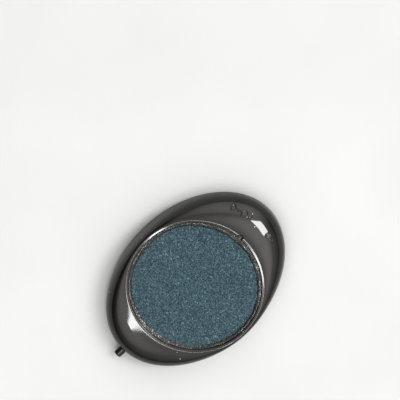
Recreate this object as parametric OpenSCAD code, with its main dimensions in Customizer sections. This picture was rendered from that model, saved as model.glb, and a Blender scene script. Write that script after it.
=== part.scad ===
// Bubble disc: a round porous stone glued into an elliptical plastic base, with an air
// chamber under the stone and a tube for the airline at one end.
// Millimetres, +Z up. The origin is on the stone's axis, on the surface that the foot
// ring rests on. +X runs along the body, away from the air inlet.

/* [Body] */
// Length of the body along X, without the inlet tube
body_length = 100; // [98:1:120]
// Width of the body along Y
body_width = 71.5; // [71:0.5:80]
// Height of the rim's crest above the resting surface
body_height = 15; // [14.5:0.5:18]
// Height up to which the skirt stands upright
skirt_height = 3; // [2.6:0.1:4]
// Fullness of the dome between rim and skirt, where 2 is an ellipse
dome_power = 2.3; // [2:0.1:2.8]
// Wall thickness of the shell
shell_wall = 1.6; // [1.2:0.1:1.8]

/* [Stone] */
// Radius of the stone disc
stone_radius = 30.9; // [30:0.1:31]
// Thickness of the stone disc
stone_thickness = 5.6; // [5:0.1:6]
// Depth of the stone's top below the rim's crest
stone_recess = 1.6; // [1.2:0.1:1.8]

/* [Inlet] */
// Outer radius of the inlet tube, a push fit in airline of 4 mm bore
inlet_radius = 2; // [1.6:0.1:2.2]
// Radius of the air passage through the inlet tube
air_radius = 1.2; // [0.8:0.1:1.3]
// Length of inlet tube that stands past the end of the body
inlet_reach = 4; // [3:0.5:12]
// Height of the inlet's axis above the resting surface
inlet_height = 3.8; // [3.6:0.1:3.9]

/* [Hidden] */
$fn = 96;

// Overlap that carries a cut past the face it opens
past = 1;
// Clearance of a glued or pressed joint between two pieces
fit_gap = 0.05;
// Clearance between plastic edges that only sit near each other
edge_gap = 0.15;

half_length = body_length / 2;
half_width = body_width / 2;

// Heights, from the resting surface up
foot_height = 0.8;
skirt_bottom = 0.5;
floor_thickness = 1.4;
floor_top = foot_height + floor_thickness;
stone_top = body_height - stone_recess;
stone_bottom = stone_top - stone_thickness;
gasket_thickness = 0.8;
ledge_top = stone_bottom - gasket_thickness;

// Radii, from the stone out
glue_gap = 1;
opening_radius = stone_radius + glue_gap;
sleeve_radius = opening_radius + 1.7;
rim_round = 0.9;
rim_edge = 0.05;
rim_land = 0.4;
crest_radius = opening_radius + rim_round + rim_land;
ledge_radius = opening_radius - 0.2;
chamber_radius = ledge_radius - 2.1;

// The lobes of the shell are hollow; each cavity leaves a ledge that the tray seats on
seat_ledge = 0.6;
cavity_half_length = half_length - shell_wall - seat_ledge;
cavity_half_width = half_width - shell_wall - seat_ledge;
cavity_start = 12;

// Rim notch where the glue was fed in, a few degrees off the long axis
notch_angle = 4;
notch_radius = 1.4;
notch_distance = opening_radius + rim_round;
notch_floor = body_height - 1.2;
notch_fill = 0.7;

// Glue bead: a stem in the gap and a rounded cap that laps over the stone's edge
bead_radius = 1.6;
bead_middle = stone_radius + 0.3;
bead_rise = 0.65;
bead_stem = 3;

// Pegs of the tray, which pass through the weights into sockets of the shell
peg_radius = 1.6;
peg_x = 38;
peg_y = 10;
peg_top = 10.4;
socket_wall = 1.4;
socket_depth_gap = 0.4;

// Weights in the lobes
weight_top = 8;
weight_inset = 4.4;
weight_clearance = 0.6;
weight_start = 24;
peg_hole_gap = 0.2;
weight_half_length = half_length - weight_inset;
weight_half_width = half_width - weight_inset;

// Inlet: a collared tube in a boss of the tray, in a channel that is open below
boss_radius = inlet_height - foot_height;
boss_end = 40;
boss_start = 31;
channel_radius = 3.2;
collar_radius = 2.8;
collar_length = 1.2;
washer_length = 0.8;
washer_seat = ledge_radius + 1.3;
tip_round = 0.65;
inlet_tip = half_length + inlet_reach;

// Pillars that carry the middle of the stone
pillar_radius = 2;
pillar_circle = 15;
pillar_count = 6;

// Feet: a ring under the chamber, and a round foot under each peg
foot_inner = 25.5;
foot_outer = 28.5;
peg_foot_radius = 3;

// Distance from the axis to an ellipse's outline in the direction of an angle
function outline_reach(a, b, turn) = 1 / sqrt(pow(cos(turn) / a, 2) + pow(sin(turn) / b, 2));

// One point of the dome's profile: share of the way out to the skirt, share of the rise
function dome_point(share) = [
    pow(cos(90 * share), 2 / dome_power),
    pow(sin(90 * share), 2 / dome_power),
];

// Closed solid under a dome that blends from an elliptical skirt to a round crest
module dome(a, b, crest, bottom_z, crest_z, sides, rows) {
    profile = [for (row = [0 : rows]) dome_point(row / rows)];
    rings = concat(
        [[1, bottom_z]],
        [for (p = profile) [p[0], skirt_height + p[1] * (crest_z - skirt_height)]]
    );
    points = [
        for (ring = rings, side = [0 : sides - 1])
            let (turn = 360 * side / sides)
            let (reach = crest + ring[0] * (outline_reach(a, b, turn) - crest))
            [reach * cos(turn), reach * sin(turn), ring[1]]
    ];
    bottom_face = [for (side = [0 : sides - 1]) side];
    top_face = [for (side = [sides - 1 : -1 : 0]) len(rings) * sides - sides + side];
    side_faces = [
        for (ring = [0 : len(rings) - 2], side = [0 : sides - 1])
            let (low = ring * sides, high = low + sides, next = (side + 1) % sides)
            [low + side, high + side, high + next, low + next]
    ];
    polyhedron(points, concat([bottom_face, top_face], side_faces));
}

// Upright cylinder with an elliptical outline
module oval(a, b, bottom_z, top_z) {
    translate([0, 0, bottom_z]) scale([a, b, 1]) cylinder(h = top_z - bottom_z, r = 1);
}

// Upright cylinder round the stone's axis
module disc(radius, bottom_z, top_z) {
    translate([0, 0, bottom_z]) cylinder(h = top_z - bottom_z, r = radius);
}

// Upright ring round the stone's axis
module ring(inner, outer, bottom_z, top_z) {
    difference() {
        disc(outer, bottom_z, top_z);
        disc(inner, bottom_z - past, top_z + past);
    }
}

// Cylinder on the inlet's axis, between two distances from the stone's axis
module inlet_rod(radius, start, end) {
    translate([-start, 0, inlet_height]) rotate([0, -90, 0]) cylinder(h = end - start, r = radius);
}

// Inlet rod with straight sides carried down to a given height
module inlet_arch(radius, start, end, bottom_z) {
    inlet_rod(radius, start, end);
    translate([-end, -radius, bottom_z]) cube([end - start, 2 * radius, inlet_height - bottom_z]);
}

// Its children at each of the tray's four pegs
module at_pegs() {
    for (x = [-peg_x, peg_x], y = [-peg_y, peg_y]) translate([x, y, 0]) children();
}

module lobe_cavities() {
    difference() {
        dome(
            cavity_half_length, cavity_half_width, crest_radius,
            floor_top - past, body_height - shell_wall, 60, 8
        );
        disc(sleeve_radius, 0, body_height);
        translate([-cavity_start, -body_width, 0]) cube([2 * cavity_start, 2 * body_width, body_height]);
        at_pegs() disc(peg_radius + socket_wall, weight_top, body_height);
    }
}

// Opening for the stone, with its upper edge rounded off, and the notch for the glue
module rim_cuts() {
    round_reach = rim_round - rim_edge;
    disc(opening_radius, 0, body_height + past);
    translate([0, 0, body_height - round_reach]) rotate_extrude() translate([opening_radius, 0])
        difference() {
            translate([-past, 0]) square([round_reach + past, rim_round + past]);
            translate([round_reach, 0]) circle(r = rim_round);
        }
    rotate([0, 0, notch_angle]) translate([notch_distance, 0, 0])
        disc(notch_radius, notch_floor, body_height + past);
}

module top_shell() {
    color([0.17, 0.17, 0.165]) difference() {
        dome(half_length, half_width, crest_radius, skirt_bottom, body_height, 72, 12);
        lobe_cavities();
        rim_cuts();
        oval(half_length - shell_wall, half_width - shell_wall, 0, floor_top);
        inlet_arch(channel_radius, boss_end, inlet_tip + past, 0);
        inlet_arch(boss_radius + edge_gap, boss_start - past, boss_end, 0);
        at_pegs() disc(peg_radius + fit_gap, weight_top - past, peg_top + socket_depth_gap);
    }
}

module inlet_boss() {
    inlet_arch(boss_radius, boss_start, boss_end, foot_height);
}

module pillars() {
    disc(pillar_radius, floor_top - past, stone_bottom);
    for (turn = [0 : 360 / pillar_count : 359])
        rotate([0, 0, turn]) translate([pillar_circle, 0, 0])
            disc(pillar_radius, floor_top - past, stone_bottom);
}

module base_tray() {
    color([0.13, 0.13, 0.13]) difference() {
        union() {
            oval(
                half_length - shell_wall - edge_gap, half_width - shell_wall - edge_gap,
                foot_height, floor_top
            );
            ring(foot_inner, foot_outer, 0, foot_height + past / 2);
            ring(chamber_radius, ledge_radius, floor_top - past, ledge_top);
            pillars();
            inlet_boss();
            at_pegs() {
                disc(peg_foot_radius, 0, foot_height + past / 2);
                disc(peg_radius, floor_top - past, peg_top);
            }
        }
        inlet_arch(channel_radius, boss_end, inlet_tip, 0);
        inlet_rod(inlet_radius + fit_gap, washer_seat, boss_end + past);
        inlet_rod(air_radius, chamber_radius - past, washer_seat + past);
    }
}

module stone_disc() {
    color([0.24, 0.32, 0.36]) disc(stone_radius, stone_bottom, stone_top);
}

module bond_bead() {
    stem_inner = stone_radius + fit_gap;
    stem_outer = opening_radius - fit_gap;
    cap_bottom = bead_middle - bead_radius;
    color([0.1, 0.1, 0.1]) {
        rotate_extrude() {
            translate([stem_inner, stone_top - bead_stem])
                square([stem_outer - stem_inner, bead_stem + bead_rise / 2]);
            intersection() {
                translate([bead_middle, stone_top + bead_rise - bead_radius]) circle(r = bead_radius);
                translate([cap_bottom, stone_top]) square([stem_outer - cap_bottom, bead_rise]);
            }
        }
        rotate([0, 0, notch_angle]) translate([notch_distance, 0, 0])
            disc(notch_radius - fit_gap, notch_floor, notch_floor + notch_fill);
    }
}

module chamber_gasket() {
    color([0.05, 0.05, 0.05])
        ring(chamber_radius + edge_gap, opening_radius - edge_gap, ledge_top, stone_bottom);
}

// Half section of the inlet tube, with the tube's length along Y
module inlet_section(start) {
    straight = inlet_tip - tip_round - start;
    difference() {
        union() {
            square([inlet_radius, straight]);
            translate([0, boss_end - start]) square([collar_radius, collar_length]);
            translate([0, straight]) {
                square([inlet_radius - tip_round, tip_round]);
                intersection() {
                    translate([inlet_radius - tip_round, 0]) circle(r = tip_round);
                    square([inlet_radius, tip_round]);
                }
            }
        }
        translate([0, -past]) square([air_radius, body_length]);
    }
}

module inlet_tube() {
    start = washer_seat + washer_length;
    color([0.08, 0.08, 0.08])
        translate([-start, 0, inlet_height]) rotate([0, -90, 0]) rotate_extrude() inlet_section(start);
}

module inlet_seal_washer() {
    color([0.03, 0.03, 0.03]) difference() {
        inlet_rod(inlet_radius, washer_seat, washer_seat + washer_length);
        inlet_rod(air_radius, washer_seat - past, washer_seat + washer_length + past);
    }
}

// Crescent between the sleeve and the shell, on the +X side
module weight_crescent() {
    difference() {
        oval(weight_half_length, weight_half_width, floor_top, weight_top);
        disc(sleeve_radius + weight_clearance, 0, body_height);
        translate([-body_length, -body_width, 0])
            cube([body_length + weight_start, 2 * body_width, body_height]);
        at_pegs() disc(peg_radius + peg_hole_gap, 0, body_height);
    }
}

module nose_weight() {
    color([0.35, 0.36, 0.38]) weight_crescent();
}

// Part of the crescent beside the inlet channel, where side is 1 for +Y and -1 for -Y
module tail_weight(side) {
    color([0.35, 0.36, 0.38]) mirror([0, side < 0 ? 1 : 0, 0]) difference() {
        mirror([1, 0, 0]) weight_crescent();
        translate([-body_length, -body_width, 0])
            cube([2 * body_length, body_width + channel_radius + weight_clearance, body_height]);
    }
}

module tail_weight_left() {
    tail_weight(1);
}

module tail_weight_right() {
    tail_weight(-1);
}

top_shell();
base_tray();
stone_disc();
bond_bead();
chamber_gasket();
inlet_tube();
inlet_seal_washer();
nose_weight();
tail_weight_left();
tail_weight_right();
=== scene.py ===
"""Looks of the bubble disc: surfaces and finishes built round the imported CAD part.

Lengths in this file are millimetres in the CAD frame, with the stone's axis at x = y = 0 and
the resting surface at z = 0, until make_piece turns them into metres. Angles named turn go
round the stone's axis from +X; the air inlet is at turn = pi.
"""

import math

import bpy
import numpy as np
from mathutils import Matrix, Quaternion, Vector


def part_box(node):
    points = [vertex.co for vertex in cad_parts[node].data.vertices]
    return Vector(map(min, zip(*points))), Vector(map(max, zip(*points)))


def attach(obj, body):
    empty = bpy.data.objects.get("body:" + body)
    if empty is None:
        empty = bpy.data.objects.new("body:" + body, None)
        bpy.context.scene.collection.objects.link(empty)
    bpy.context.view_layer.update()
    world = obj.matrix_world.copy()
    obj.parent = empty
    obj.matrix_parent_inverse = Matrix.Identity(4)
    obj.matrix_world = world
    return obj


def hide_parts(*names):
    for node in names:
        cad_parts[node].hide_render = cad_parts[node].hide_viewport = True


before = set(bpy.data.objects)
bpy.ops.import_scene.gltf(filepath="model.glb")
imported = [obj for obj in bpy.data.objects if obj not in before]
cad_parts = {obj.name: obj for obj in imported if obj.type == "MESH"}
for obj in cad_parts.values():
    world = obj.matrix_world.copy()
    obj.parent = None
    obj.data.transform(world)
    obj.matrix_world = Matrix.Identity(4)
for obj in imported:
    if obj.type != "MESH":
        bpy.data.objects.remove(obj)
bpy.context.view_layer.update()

MM = 0.001


def node_box(node):
    """Lowest and highest corner of a CAD node, in millimetres."""
    low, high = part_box(node)
    return np.array(low) / MM, np.array(high) / MM


# Shell: outside dimensions come from the CAD node, the rest from its wall and its opening
shell_low, shell_high = node_box("top_shell")
HALF_LENGTH, HALF_WIDTH, CREST_Z = shell_high
SKIRT_BOTTOM = shell_low[2]
SKIRT_HEIGHT = 3.0
DOME_POWER = 2.3
WALL = 1.6
SEAT_LEDGE = 0.6
FLOOR_TOP = 2.2

# Mesh rows up the shell's skirt and across its foot, and how far up the arch moves them
SKIRT_ROWS = 6
FOOT_ROWS = 3
CALM_CLIMB = 0.4

# Stone, with the spacing of its grains
stone_low, stone_high = node_box("stone_disc")
STONE_RADIUS, _, STONE_TOP = stone_high
STONE_BOTTOM = stone_low[2]
STONE_CHAMFER = 0.4
GRAIN = 0.46
GRAIN_GRID = 310

# Opening for the stone: a slightly bevelled land, a rounded edge and a wall
OPENING_RADIUS = STONE_RADIUS + 1.0
RIM_LAND = 0.7
RIM_DROP = 0.08
RIM_ROUND = 0.6
CREST_RADIUS = OPENING_RADIUS + RIM_LAND + RIM_ROUND
SLEEVE_RADIUS = OPENING_RADIUS + 1.7

# Glue ring: it starts just inside the rim's wall and laps over the stone's edge
GRIT = 0.7
RIM_OVERLAP = 0.1
GLUE_START_Z = STONE_TOP + 0.5
GLUE_END_Z = STONE_TOP - 0.9
GLUE_DEPTH = 3.0

# Notch in the rim where the glue was fed in
NOTCH_TURN = math.radians(4)
NOTCH_DISTANCE = OPENING_RADIUS + 0.9
NOTCH_RADIUS = 1.4
NOTCH_FLOOR = CREST_Z - 1.2
NOTCH_BLEND = 0.3

# Inlet tube and the arch that it leaves the shell through
tube_low, tube_high = node_box("inlet_tube")
TUBE_TIP = -tube_low[0]
TUBE_START = -tube_high[0]
TUBE_Z = (tube_low[2] + tube_high[2]) / 2
COLLAR_RADIUS = tube_high[1]
TUBE_RADIUS = 2.0
AIR_RADIUS = 1.2
COLLAR_START = 40.0
COLLAR_LENGTH = 1.2
ARCH_RADIUS = 3.2

# Raised rings, like a string of bubbles, where the real one has its maker's word:
# a starting turn in degrees, and the sizes that follow it along the arc
BADGE_RADIUS = 43.0
BADGE_STRINGS = ((-14, (2.0, 2.8)), (6, (2.2, 3.6, 1.8, 3.0)))
BADGE_GAP = 0.4
BADGE_STROKE = 0.6
BADGE_HEIGHT = 0.3

# Start of every row of random draws
SEED = 7


# ---------------------------------------------------------------- meshes

def smooth_step(value):
    """0 below 0, 1 above 1, and a smooth rise in between."""
    share = np.clip(value, 0.0, 1.0)
    return share * share * (3.0 - 2.0 * share)


def spread(*spans):
    """Values through several spans of (start, end, steps), each without its end."""
    return np.concatenate([np.linspace(a, b, steps, endpoint=False) for a, b, steps in spans])


def grid_faces(rows, columns):
    """Quads between neighbouring points of a grid that wraps both ways."""
    row, column = np.meshgrid(np.arange(rows), np.arange(columns), indexing="ij")
    next_row = (row + 1) % rows
    next_column = (column + 1) % columns
    corners = (
        row * columns + column,
        row * columns + next_column,
        next_row * columns + next_column,
        next_row * columns + column,
    )
    return np.stack(corners, axis=-1).reshape(-1, 4)


def grid_normals(points):
    """Unit normals at the points of a grid that wraps both ways."""
    along = np.roll(points, -1, axis=1) - np.roll(points, 1, axis=1)
    across = np.roll(points, -1, axis=0) - np.roll(points, 1, axis=0)
    normals = np.cross(along, across)
    return normals / np.linalg.norm(normals, axis=-1, keepdims=True)


def make_piece(name, points, faces, stands_for, sharp_angle=35):
    """A smooth-shaded piece of the object, from points in millimetres."""
    mesh = bpy.data.meshes.new(name)
    mesh.from_pydata((points.reshape(-1, 3) * MM).tolist(), [], faces)
    mesh.set_sharp_from_angle(angle=math.radians(sharp_angle))
    piece = bpy.data.objects.new(name, mesh)
    bpy.context.scene.collection.objects.link(piece)
    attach(piece, "root")
    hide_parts(stands_for)
    return piece


# ---------------------------------------------------------------- shell

def outline_reach(half_length, half_width, turn):
    """Distance from the axis to an ellipse's outline."""
    return 1.0 / np.sqrt((np.cos(turn) / half_length) ** 2 + (np.sin(turn) / half_width) ** 2)


def dome_section(climb, reach, crest_radius, bottom_z, crest_z):
    """Distance and height on a dome: climb is -1 at the foot of the skirt, 0 on top of it
    and 1 at the crest."""
    angle = np.clip(climb, 0.0, 1.0) * math.pi / 2
    outward = np.cos(angle) ** (2 / DOME_POWER)
    upward = np.sin(angle) ** (2 / DOME_POWER)
    radius = crest_radius + outward * (reach - crest_radius)
    dome_z = SKIRT_HEIGHT + upward * (crest_z - SKIRT_HEIGHT)
    skirt_z = SKIRT_HEIGHT + climb * (SKIRT_HEIGHT - bottom_z)
    return radius, np.where(climb < 0, skirt_z, dome_z)


def climb_at(height, crest_z):
    """The climb at which a dome reaches a height above its skirt."""
    rise = (height - SKIRT_HEIGHT) / (crest_z - SKIRT_HEIGHT)
    return np.arcsin(np.clip(rise, 0.0, 1.0) ** (DOME_POWER / 2)) * 2 / math.pi


def shell_turns():
    """Columns of the shell, closer together at the badge and round the inlet arch."""
    badge_start, badge_end = math.radians(-15), math.radians(22.5)
    edge = math.asin(ARCH_RADIUS / HALF_LENGTH)
    gap = math.radians(0.03)
    inlet = math.radians(6)
    half = math.pi
    return spread(
        (badge_start, badge_end, 188),
        (badge_end, half - inlet, 222),
        (half - inlet, half - edge - gap, 8),
        (half - edge - gap, half - edge + gap, 1),
        (half - edge + gap, half + edge - gap, 36),
        (half + edge - gap, half + edge + gap, 1),
        (half + edge + gap, half + inlet, 8),
        (half + inlet, 2 * half + badge_start, 232),
    )


def arch_height(turn):
    """Height of the inlet arch above each column, and whether the column is under it."""
    across = outline_reach(HALF_LENGTH, HALF_WIDTH, turn) * np.sin(turn)
    under = (np.abs(across) < ARCH_RADIUS) & (np.cos(turn) < 0)
    height = TUBE_Z + np.sqrt(np.clip(ARCH_RADIUS ** 2 - across ** 2, 0.0, None))
    return height, under


def shell_outside(turn):
    """Rows from the foot of the skirt up over the dome, closest at the badge. Only those
    between the foot of the inlet arch and CALM_CLIMB rise with the arch."""
    springing = climb_at(TUBE_Z, CREST_Z)
    badge_foot, badge_head = 0.49, 0.76
    rows = np.concatenate([
        np.linspace(-1, 0, SKIRT_ROWS),
        spread(
            (springing, CALM_CLIMB, 18),
            (CALM_CLIMB, badge_foot, 4),
            (badge_foot, badge_head, 42),
            (badge_head, 1, 28),
        ),
    ])[:, None]
    arch, under = arch_height(turn)
    start = np.where(under, climb_at(arch, CREST_Z), springing)
    lifted = start + (CALM_CLIMB - start) * (rows - springing) / (CALM_CLIMB - springing)
    climb = np.where((rows < springing) | (rows > CALM_CLIMB), rows, lifted)
    reach = outline_reach(HALF_LENGTH, HALF_WIDTH, turn)
    return dome_section(climb, reach, CREST_RADIUS, SKIRT_BOTTOM, CREST_Z)


def shell_rim(turn):
    """Rows from the crest down a slight bevel, over the rounded edge and down the wall."""
    land = np.linspace(0, 1, 6, endpoint=False)
    angle = np.linspace(math.pi / 2, 0, 11)
    radius = np.concatenate([
        CREST_RADIUS - RIM_LAND * land,
        OPENING_RADIUS + RIM_ROUND * (1 - np.cos(angle)),
        np.full(3, OPENING_RADIUS),
    ])
    wall_start = CREST_Z - 3
    height = np.concatenate([
        CREST_Z - RIM_DROP * land,
        CREST_Z - RIM_DROP - RIM_ROUND * (1 - np.sin(angle)),
        np.linspace(wall_start, FLOOR_TOP, 3),
    ])
    shape = (len(radius), len(turn))
    return np.broadcast_to(radius[:, None], shape), np.broadcast_to(height[:, None], shape)


def shell_inside(turn):
    """Rows from the opening's lower edge, through the hollow lobes, to the foot of the skirt.
    At the waist, where the lobes end, a trace of their depth keeps the rows apart."""
    arch, under = arch_height(turn)
    ceiling = CREST_Z - WALL
    recess = outline_reach(HALF_LENGTH - WALL, HALF_WIDTH - WALL, turn)
    cavity = outline_reach(
        HALF_LENGTH - WALL - SEAT_LEDGE, HALF_WIDTH - WALL - SEAT_LEDGE, turn
    )
    sleeve = np.minimum(SLEEVE_RADIUS, cavity - 0.4)
    draft = 0.1
    lobe_start, lobe_blend, trace = 10.0, 6.0, 0.02
    lobe = smooth_step((np.abs(np.cos(turn)) * sleeve - lobe_start) / lobe_blend)
    depth = trace + (1 - trace) * lobe

    rise = np.linspace(0, 1, 5)[:, None] * np.ones_like(turn)
    sleeve_r = sleeve + draft * rise
    sleeve_z = FLOOR_TOP + (ceiling - FLOOR_TOP) * rise
    start = np.where(under, climb_at(arch, ceiling), -1.0)
    climb = 1.0 + (start - 1.0) * np.linspace(0, 1, 17)[1:, None]
    dome_r, dome_z = dome_section(climb, cavity, sleeve + draft, FLOOR_TOP, ceiling)
    hollow_r = np.concatenate([sleeve_r, dome_r])
    hollow_z = FLOOR_TOP + depth * (np.concatenate([sleeve_z, dome_z]) - FLOOR_TOP)

    foot_r = np.stack([(recess + cavity) / 2, recess, recess])
    foot_z = np.stack([np.full_like(turn, z) for z in (FLOOR_TOP, FLOOR_TOP, SKIRT_BOTTOM)])
    return np.concatenate([hollow_r, foot_r]), np.concatenate([hollow_z, foot_z])


def line_arch(turn, radius, height):
    """Leads the rows of the skirt and its foot along the underside of the inlet arch."""
    arch, under = arch_height(turn)
    inner = radius[-FOOT_ROWS - 1].copy()
    outer = radius[SKIRT_ROWS].copy()
    for row in range(-FOOT_ROWS, SKIRT_ROWS):
        share = (row + FOOT_ROWS + 1) / (SKIRT_ROWS + FOOT_ROWS + 1)
        radius[row] = np.where(under, inner + share * (outer - inner), radius[row])
        height[row] = np.where(under, arch, height[row])


def badge_relief(x, y):
    """Height of the raised rings over the shell."""
    relief = np.zeros_like(x)
    for start, sizes in BADGE_STRINGS:
        turn = math.radians(start)
        for size in sizes:
            turn += size / 2 / BADGE_RADIUS
            middle_x, middle_y = BADGE_RADIUS * math.cos(turn), BADGE_RADIUS * math.sin(turn)
            ring_radius = (size - BADGE_STROKE) / 2
            off_line = np.abs(np.hypot(x - middle_x, y - middle_y) - ring_radius)
            # flat on top, and gone just past the edge of the stroke
            edge = 1.5 - 1.3 * off_line / (BADGE_STROKE / 2)
            relief = np.maximum(relief, BADGE_HEIGHT * smooth_step(edge))
            turn += (size / 2 + BADGE_GAP) / BADGE_RADIUS
    return relief


def cut_notch(points):
    """Lowers the rim inside the notch for the glue."""
    middle_x = NOTCH_DISTANCE * math.cos(NOTCH_TURN)
    middle_y = NOTCH_DISTANCE * math.sin(NOTCH_TURN)
    from_middle = np.hypot(points[..., 0] - middle_x, points[..., 1] - middle_y)
    inside = smooth_step((NOTCH_RADIUS - from_middle) / NOTCH_BLEND + 0.5)
    above = np.maximum(points[..., 2] - NOTCH_FLOOR, 0.0)
    points[..., 2] -= above * inside


def build_shell():
    """One closed skin: outside, rim and inside follow each other as rows of a wrapped grid."""
    turn = shell_turns()
    outside = shell_outside(turn)
    rim = shell_rim(turn)
    inside = shell_inside(turn)
    radius = np.concatenate([outside[0], rim[0], inside[0]])
    height = np.concatenate([outside[1], rim[1], inside[1]])
    line_arch(turn, radius, height)
    points = np.stack([radius * np.cos(turn), radius * np.sin(turn), height], axis=-1)
    relief = badge_relief(points[..., 0], points[..., 1])
    relief[len(outside[0]):] = 0.0
    points += grid_normals(points) * relief[..., None]
    cut_notch(points)
    faces = grid_faces(*radius.shape)
    return make_piece("shell_body", points, faces, "top_shell")


# ---------------------------------------------------------------- stone

def disc_grid(side, radius):
    """A square grid of points pressed into a disc, with even spacing."""
    line = np.linspace(-1, 1, side)
    a, b = np.meshgrid(line, line, indexing="ij")
    wide = np.abs(a) >= np.abs(b)
    long_way = np.where(wide, a, b)
    short_way = np.where(wide, b, a)
    safe = np.where(long_way == 0, 1.0, long_way)
    angle = math.pi / 4 * short_way / safe
    x = radius * long_way * np.where(wide, np.cos(angle), np.sin(angle))
    y = radius * long_way * np.where(wide, np.sin(angle), np.cos(angle))
    return x, y


def grain_surface(x, y, spacing, seed):
    """Height and tone of a bed of round grains, one to each cell of a jittered grid."""
    random = np.random.default_rng(seed)
    cells = int(2 * STONE_RADIUS / spacing) + 6
    jitter = random.uniform(0.0, 1.0, (cells, cells, 2))
    size = spacing * random.uniform(0.55, 0.95, (cells, cells))
    level = spacing * random.uniform(-0.45, 0.0, (cells, cells))
    tone = random.uniform(0.0, 1.0, (cells, cells))
    column = x / spacing + cells / 2
    row = y / spacing + cells / 2
    height = np.full_like(x, -spacing)
    shade = np.zeros_like(x)
    for step_x in (-1, 0, 1):
        for step_y in (-1, 0, 1):
            i = np.clip(np.floor(column).astype(int) + step_x, 0, cells - 1)
            j = np.clip(np.floor(row).astype(int) + step_y, 0, cells - 1)
            away_x = (column - i - jitter[i, j, 0]) * spacing
            away_y = (row - j - jitter[i, j, 1]) * spacing
            off = (away_x ** 2 + away_y ** 2) / size[i, j] ** 2
            top = level[i, j] + size[i, j] * (np.sqrt(np.clip(1.0 - off, 0.0, None)) - 1.0)
            top = np.where(off < 1.0, top, -spacing)
            higher = top > height
            height = np.where(higher, top, height)
            shade = np.where(higher, tone[i, j], shade)
    return height, shade


def build_stone():
    """A grid of grains on top, joined by a wall and a chamfer to a flat fan underneath."""
    side = GRAIN_GRID
    x, y = disc_grid(side, STONE_RADIUS)
    height, tone = grain_surface(x, y, GRAIN, SEED)
    top = np.stack([x, y, STONE_TOP + height], axis=-1).reshape(-1, 3)
    index = np.arange(side * side).reshape(side, side)
    corners = (index[:-1, :-1], index[1:, :-1], index[1:, 1:], index[:-1, 1:])
    top_faces = np.stack(corners, axis=-1).reshape(-1, 4)
    edge = np.concatenate([index[:-1, 0], index[-1, :-1], index[:0:-1, -1], index[0, :0:-1]])

    count = len(edge)
    wall_foot = top[edge]
    wall_foot[:, 2] = STONE_BOTTOM + STONE_CHAMFER
    base_rim = top[edge]
    base_rim[:, 2] = STONE_BOTTOM
    base_rim[:, :2] *= 1 - STONE_CHAMFER / STONE_RADIUS
    centre = np.array([[0.0, 0.0, STONE_BOTTOM]])
    first = len(top)
    around = np.arange(count)
    following = (around + 1) % count
    upper = np.stack([edge, first + around, first + following, edge[following]], axis=-1)
    lower = np.stack(
        [first + around, first + count + around, first + count + following, first + following],
        axis=-1,
    )
    fan = np.stack(
        [first + count + around, np.full(count, first + 2 * count), first + count + following],
        axis=-1,
    )
    faces = top_faces.tolist() + upper.tolist() + lower.tolist() + fan.tolist()
    points = np.concatenate([top, wall_foot, base_rim, centre])
    piece = make_piece("porous_stone", points, faces, "stone_disc", 180)
    attribute = piece.data.attributes.new("grain_tone", "FLOAT", "POINT")
    values = np.full(len(points), 0.5)
    values[:first] = tone.ravel()
    attribute.data.foreach_set("value", values)
    return piece


# ---------------------------------------------------------------- glue bead

def wobble(turn, lowest, highest, random):
    """A smooth random line round the axis, mostly between -1 and 1, with from lowest to
    highest waves to a turn."""
    total = np.zeros_like(turn)
    waves = np.arange(lowest, highest + 1)
    for wave in waves:
        total += random.normal() * np.sin(wave * turn + random.uniform(0, 2 * math.pi))
    return total / math.sqrt(len(waves))


def beside(turn, middle, reach):
    """1 at a turn round the axis, falling to 0 with distance from it."""
    away = np.angle(np.exp(1j * (turn - middle)))
    return np.exp(-((away / reach) ** 2))


def glue_outline(turn, at_notch, widest, random):
    """Radius of the glue's outer edge, and of the ragged inner edge that laps the stone."""
    least_lap = 0.4
    lap = 0.9 + widest + 0.25 * wobble(turn, 3, 12, random)
    lap = np.maximum(lap + 0.16 * wobble(turn, 20, 90, random), least_lap)
    reach_into_notch = 1.6 * at_notch
    return OPENING_RADIUS + RIM_OVERLAP + reach_into_notch, STONE_RADIUS - lap


def build_bead():
    """The glue's rough cap between the rim and the stone, on a stem down the gap."""
    random = np.random.default_rng(SEED + 1)
    turn = np.linspace(0, 2 * math.pi, 1100, endpoint=False)
    at_notch = beside(turn, NOTCH_TURN, 0.04)
    widest = beside(turn, NOTCH_TURN, 0.8)
    outer, inner = glue_outline(turn, at_notch, widest, random)
    lumps = 0.08 * wobble(turn, 4, 15, random) + 0.03 * wobble(turn, 20, 60, random)
    bulge = 0.1 + 0.25 * widest + lumps
    rough = 0.15 + 0.85 * smooth_step(0.5 + 0.8 * wobble(turn, 5, 30, random))
    grit_height = (0.4 + 0.25 * widest) * rough

    share = np.linspace(0, 1, 21)[:, None]
    middle = np.sin(math.pi * share)
    slope = 0.5 * share + 0.5 * share ** 3
    cap_r = outer + share * (inner - outer)
    cap_z = GLUE_START_Z - slope + bulge * middle + 0.2 * at_notch
    grit, _ = grain_surface(cap_r * np.cos(turn), cap_r * np.sin(turn), GRIT, SEED + 2)
    cap_z += grit_height * (grit + 0.3 * GRIT) * middle

    ones = np.ones_like(turn)
    stem_inner = (STONE_RADIUS + 0.05) * ones
    stem_outer = (OPENING_RADIUS - 0.05) * ones
    stem_bottom = (STONE_TOP - GLUE_DEPTH) * ones
    radius = np.concatenate([[stem_inner, stem_outer], cap_r, [stem_inner]])
    height = np.concatenate([[stem_bottom, stem_bottom], cap_z, [GLUE_END_Z * ones]])
    points = np.stack([radius * np.cos(turn), radius * np.sin(turn), height], axis=-1)
    faces = grid_faces(*radius.shape)
    return make_piece("glue_bead", points, faces, "bond_bead", 180)


# ---------------------------------------------------------------- inlet tube

def rounded_corner(distance, radius, start_angle, end_angle, size, steps=5):
    """Points (distance, radius) on the quarter circle that rounds a corner."""
    angle = np.radians(np.linspace(start_angle, end_angle, steps))
    return list(zip(distance + size * np.cos(angle), radius + size * np.sin(angle)))


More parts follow.
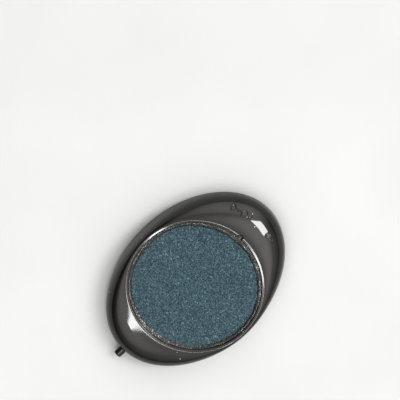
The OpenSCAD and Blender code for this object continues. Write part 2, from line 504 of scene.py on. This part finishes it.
def build_tube():
    """The tube's outline (distance from the stone's axis, radius), turned about its own axis."""
    tip_round = 0.65
    edge = 0.2
    bore_edge = 0.1
    collar_end = COLLAR_START + COLLAR_LENGTH
    line = [(TUBE_START, AIR_RADIUS), (TUBE_START, TUBE_RADIUS), (COLLAR_START, TUBE_RADIUS)]
    line += rounded_corner(COLLAR_START + edge, COLLAR_RADIUS - edge, 180, 90, edge)
    line += rounded_corner(collar_end - edge, COLLAR_RADIUS - edge, 90, 0, edge)
    line += rounded_corner(collar_end + edge, TUBE_RADIUS + edge, 180, 270, edge)
    line += rounded_corner(TUBE_TIP - tip_round, TUBE_RADIUS - tip_round, 90, 0, tip_round, 9)
    line += rounded_corner(TUBE_TIP - bore_edge, AIR_RADIUS + bore_edge, 0, -90, bore_edge, 3)
    line = np.array(line)
    around = np.linspace(0, 2 * math.pi, 96, endpoint=False)
    distance = line[:, 0][:, None] * np.ones_like(around)
    radius = line[:, 1][:, None]
    points = np.stack(
        [-distance, radius * np.cos(around), TUBE_Z - radius * np.sin(around)], axis=-1
    )
    faces = grid_faces(len(line), len(around))
    return make_piece("inlet_nipple", points, faces, "inlet_tube")


# ---------------------------------------------------------------- finishes

class Finish:
    """A Principled material, with short calls for the nodes that feed it."""

    def __init__(self, name):
        self.material = bpy.data.materials.new(name)
        self.material.use_nodes = True
        self.nodes = self.material.node_tree.nodes
        self.links = self.material.node_tree.links
        self.shader = self.nodes["Principled BSDF"]
        self.place = self.nodes.new("ShaderNodeTexCoord").outputs["Object"]

    def set(self, socket, value):
        """Gives one of the shader's sockets a constant, or links an output to it."""
        if isinstance(value, bpy.types.NodeSocket):
            self.links.new(value, self.shader.inputs[socket])
        else:
            self.shader.inputs[socket].default_value = value

    def noise(self, size, detail=3.0):
        """Cloudy noise with features of about a size in millimetres."""
        node = self.nodes.new("ShaderNodeTexNoise")
        node.inputs["Scale"].default_value = 1 / (size * MM)
        node.inputs["Detail"].default_value = detail
        self.links.new(self.place, node.inputs["Vector"])
        return node.outputs["Fac"]

    def cell_distance(self, size):
        """Distance to the middle of cells of about a size in millimetres, as a share of it."""
        node = self.nodes.new("ShaderNodeTexVoronoi")
        node.inputs["Scale"].default_value = 1 / (size * MM)
        self.links.new(self.place, node.inputs["Vector"])
        return node.outputs["Distance"]

    def remap(self, value, low, high, to_low, to_high):
        """Stretches the range from low to high onto the one from to_low to to_high."""
        node = self.nodes.new("ShaderNodeMapRange")
        numbers = (low, high, to_low, to_high)
        for socket, number in zip(("From Min", "From Max", "To Min", "To Max"), numbers):
            node.inputs[socket].default_value = number
        self.links.new(value, node.inputs["Value"])
        return node.outputs["Result"]

    def multiply(self, first, second):
        node = self.nodes.new("ShaderNodeMath")
        node.operation = "MULTIPLY"
        self.links.new(first, node.inputs[0])
        self.links.new(second, node.inputs[1])
        return node.outputs["Value"]

    def colours(self, value, *stops):
        """Colours through stops of (position, (red, green, blue)), in linear light."""
        node = self.nodes.new("ShaderNodeValToRGB")
        elements = node.color_ramp.elements
        while len(elements) < len(stops):
            elements.new(1.0)
        for element, (position, colour) in zip(elements, stops):
            element.position = position
            element.color = (*colour, 1.0)
        self.links.new(value, node.inputs["Fac"])
        return node.outputs["Color"]

    def drifting(self, size, dark, light, low=0.3, high=0.7):
        """A colour that drifts from dark to light over a size in millimetres."""
        return self.colours(self.noise(size), (low, dark), (high, light))

    def drifting_roughness(self, size, low, high):
        """Gives the shader a roughness that drifts over a size in millimetres."""
        self.set("Roughness", self.remap(self.noise(size), 0.3, 0.7, low, high))

    def mix(self, share, first, second):
        """Second over first, where second is a colour and share says how much of it shows."""
        node = self.nodes.new("ShaderNodeMix")
        node.data_type = "RGBA"
        self.links.new(share, node.inputs["Factor"])
        self.links.new(first, node.inputs["A"])
        node.inputs["B"].default_value = (*second, 1.0)
        return node.outputs["Result"]

    def attribute(self, name):
        node = self.nodes.new("ShaderNodeAttribute")
        node.attribute_name = name
        return node.outputs["Fac"]

    def bump(self, height, depth):
        """Relief of a depth in millimetres, linked to the shader."""
        node = self.nodes.new("ShaderNodeBump")
        node.inputs["Distance"].default_value = depth * MM
        self.links.new(height, node.inputs["Height"])
        self.links.new(node.outputs["Normal"], self.shader.inputs["Normal"])

    def dust(self, colour):
        """Sparse pale specks over a colour."""
        near = self.remap(self.cell_distance(4.0), 0.055, 0.075, 1.0, 0.0)
        chosen = self.remap(self.noise(9.0, 0.0), 0.48, 0.5, 0.0, 1.0)
        return self.mix(self.multiply(near, chosen), colour, (0.4, 0.4, 0.38))

    def give(self, *pieces):
        for piece in pieces:
            piece.data.materials.clear()
            piece.data.materials.append(self.material)


def shell_finish():
    finish = Finish("glossy_charcoal_plastic")
    dark, light = (0.006, 0.006, 0.0055), (0.010, 0.0098, 0.009)
    finish.set("Base Color", finish.dust(finish.drifting(9.0, dark, light, 0.35, 0.65)))
    finish.drifting_roughness(3.0, 0.05, 0.09)
    finish.bump(finish.noise(0.35, 2.0), 0.0015)
    return finish


def stone_finish():
    finish = Finish("fused_blue_grain")
    tone = finish.attribute("grain_tone")
    tint = finish.colours(
        tone,
        (0.0, (0.018, 0.032, 0.040)),
        (0.5, (0.030, 0.058, 0.071)),
        (0.9, (0.047, 0.086, 0.103)),
        (1.0, (0.105, 0.155, 0.172)),
    )
    finish.set("Base Color", tint)
    finish.set("Roughness", finish.remap(tone, 0.0, 1.0, 0.75, 0.45))
    finish.set("Specular IOR Level", 0.25)
    finish.bump(finish.noise(0.12, 2.0), 0.05)
    return finish


def glue_finish():
    finish = Finish("dark_set_glue")
    dark, light = (0.006, 0.006, 0.006), (0.024, 0.025, 0.025)
    finish.set("Base Color", finish.drifting(0.9, dark, light, 0.35, 0.65))
    finish.drifting_roughness(0.8, 0.03, 0.08)
    finish.bump(finish.noise(0.6, 0.0), 0.05)
    return finish


def inlet_finish():
    finish = Finish("glossy_black_plastic")
    dark, light = (0.004, 0.004, 0.004), (0.012, 0.011, 0.010)
    finish.set("Base Color", finish.drifting(2.0, dark, light))
    finish.drifting_roughness(1.0, 0.08, 0.16)
    finish.bump(finish.noise(0.5, 2.0), 0.01)
    return finish


def tray_finish():
    finish = Finish("satin_black_plastic")
    dark, light = (0.014, 0.014, 0.014), (0.022, 0.022, 0.022)
    finish.set("Base Color", finish.dust(finish.drifting(6.0, dark, light)))
    finish.drifting_roughness(2.0, 0.35, 0.5)
    finish.bump(finish.noise(0.25), 0.012)
    return finish


def rubber_finish():
    finish = Finish("black_rubber")
    dark, light = (0.010, 0.010, 0.010), (0.018, 0.018, 0.018)
    finish.set("Base Color", finish.drifting(1.5, dark, light))
    finish.drifting_roughness(0.8, 0.6, 0.8)
    finish.bump(finish.noise(0.15), 0.02)
    return finish


def metal_finish():
    finish = Finish("coated_steel")
    dark, light = (0.10, 0.105, 0.11), (0.16, 0.165, 0.17)
    finish.set("Base Color", finish.drifting(4.0, dark, light))
    finish.drifting_roughness(0.7, 0.4, 0.6)
    finish.set("Metallic", 0.6)
    finish.bump(finish.noise(0.3, 4.0), 0.03)
    return finish


def finish_cad_nodes():
    """Finishes for the CAD nodes that are shown as they are. The table also lists a slot name
    for each, which is not used.
    """
    tray, rubber, metal = tray_finish(), rubber_finish(), metal_finish()
    looks = {
        "base_tray": (tray, "tray_plastic"),
        "chamber_gasket": (rubber, "rubber"),
        "inlet_seal_washer": (rubber, "rubber"),
        "nose_weight": (metal, "weight_metal"),
        "tail_weight_left": (metal, "weight_metal"),
        "tail_weight_right": (metal, "weight_metal"),
    }
    for node, (finish, slot) in looks.items():
        finish.give(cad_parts[node])


# ---------------------------------------------------------------- stage

CAMERA_TURN = math.radians(45.08)
CAMERA_TILT = math.radians(15.504)
CAMERA_DISTANCE = 1.0473
CAMERA_LENS = 195.6
AIM_RIGHT = 0.00234
AIM_UP = 0.03924
DISPLAY_GAMMA = 0.78


def picture_direction(azimuth, elevation):
    """A unit vector, with azimuth counted from the picture's right towards its top."""
    turn = CAMERA_TURN - math.pi / 2 + math.radians(azimuth)
    lift = math.radians(elevation)
    level = math.cos(lift)
    return Vector((level * math.cos(turn), level * math.sin(turn), math.sin(lift)))


def add_camera():
    """A long lens that looks almost straight down, from a little towards the picture's top."""
    right = picture_direction(0, 0)
    top = picture_direction(90, 0)
    back = math.sin(CAMERA_TILT) * top + math.cos(CAMERA_TILT) * Vector((0, 0, 1))
    up = math.cos(CAMERA_TILT) * top - math.sin(CAMERA_TILT) * Vector((0, 0, 1))
    camera = bpy.data.objects.new("camera", bpy.data.cameras.new("camera"))
    camera.data.lens = CAMERA_LENS
    camera.matrix_world = Matrix((right, up, back)).transposed().to_4x4()
    camera.location = AIM_RIGHT * right + AIM_UP * top + CAMERA_DISTANCE * back
    bpy.context.scene.collection.objects.link(camera)
    bpy.context.scene.camera = camera


def add_softbox(name, azimuth, elevation, width, height, radiance, distance=1.0, roll=0):
    """An area light of even brightness that faces the object, turned about its own axis."""
    light = bpy.data.lights.new(name, "AREA")
    light.shape = "RECTANGLE"
    light.size, light.size_y = width, height
    light.energy = radiance * math.pi * width * height
    box = bpy.data.objects.new(name, light)
    towards = picture_direction(azimuth, elevation)
    box.location = distance * towards
    box.rotation_mode = "QUATERNION"
    turned = Quaternion((0, 0, 1), math.radians(roll))
    box.rotation_quaternion = towards.to_track_quat("Z", "Y") @ turned
    bpy.context.scene.collection.objects.link(box)


class Surroundings:
    """Light from all round, as a sum of soft glows from different directions."""

    def __init__(self):
        self.world = bpy.data.worlds.new("studio")
        self.world.use_nodes = True
        self.nodes = self.world.node_tree.nodes
        self.links = self.world.node_tree.links
        self.place = self.nodes.new("ShaderNodeTexCoord").outputs["Generated"]
        self.background = self.nodes["Background"]
        self.background.inputs["Color"].default_value = (1.0, 0.98, 0.955, 1.0)
        bpy.context.scene.world = self.world

    def glow(self, azimuth, elevation, reach, radiance):
        """Brightest in one direction, and gone at an angle of reach degrees from it."""
        facing = self.nodes.new("ShaderNodeVectorMath")
        facing.operation = "DOT_PRODUCT"
        facing.inputs[1].default_value = picture_direction(azimuth, elevation)
        self.links.new(self.place, facing.inputs[0])
        grade = self.nodes.new("ShaderNodeMapRange")
        grade.interpolation_type = "SMOOTHSTEP"
        grade.inputs["From Min"].default_value = math.cos(math.radians(reach))
        grade.inputs["To Max"].default_value = radiance
        self.links.new(facing.outputs["Value"], grade.inputs["Value"])
        return grade.outputs["Result"]

    def combine(self, operation, first, second):
        node = self.nodes.new("ShaderNodeMath")
        node.operation = operation
        self.links.new(first, node.inputs[0])
        self.links.new(second, node.inputs[1])
        return node.outputs["Value"]

    def shine(self, strength):
        self.links.new(strength, self.background.inputs["Strength"])


def add_surroundings():
    """A broad glow from the lower right that fades towards the horizon, and smaller glows
    that the shell mirrors beside the badge, past both of its ends and underneath."""
    around = Surroundings()
    broad = around.glow(-40, 40, 135, 2.2)
    overhead = around.glow(0, 90, 110, 1.0)
    beside_key = around.glow(-8, 66, 26, 2.0)
    past_badge = around.glow(74, 20, 55, 2.6)
    past_inlet = around.glow(-140, 52, 30, 1.5)
    from_below = around.glow(0, -90, 85, 1.5)
    strength = around.combine("MULTIPLY", broad, overhead)
    for glow in (beside_key, past_badge, past_inlet, from_below):
        strength = around.combine("ADD", strength, glow)
    around.shine(strength)


def add_softboxes():
    """The key is mirrored on the badge, the fill on the inlet's end of the dome and along the
    right of the rim, and the last one along the rim's upper left."""
    add_softbox("key", 22, 48, 0.56, 0.76, 19, distance=2.0)
    add_softbox("fill", -112.0, 66.7, 0.018, 0.165, 22, distance=0.348, roll=-36)
    add_softbox("rim_left", -79.5, 64, 0.035, 0.12, 32)


def add_floor():
    """A pale board, a hair below the feet so that the two surfaces don't coincide."""
    half_side = 3.0
    level = -0.00005
    signs = ((-1, -1), (1, -1), (1, 1), (-1, 1))
    corners = [(x * half_side, y * half_side, level) for x, y in signs]
    mesh = bpy.data.meshes.new("floor")
    mesh.from_pydata(corners, [], [(0, 1, 2, 3)])
    floor = bpy.data.objects.new("floor", mesh)
    bpy.context.scene.collection.objects.link(floor)
    finish = Finish("pale_board")
    finish.set("Base Color", finish.drifting(60.0, (0.335, 0.34, 0.345), (0.35, 0.355, 0.36)))
    finish.set("Roughness", 0.7)
    finish.give(floor)


def set_display():
    """A camera-like curve: a gamma below 1 deepens the dark tones."""
    view = bpy.context.scene.view_settings
    view.view_transform = "Standard"
    view.gamma = DISPLAY_GAMMA


shell_finish().give(build_shell())
stone_finish().give(build_stone())
glue_finish().give(build_bead())
inlet_finish().give(build_tube())
finish_cad_nodes()
add_camera()
add_floor()
add_surroundings()
add_softboxes()
set_display()
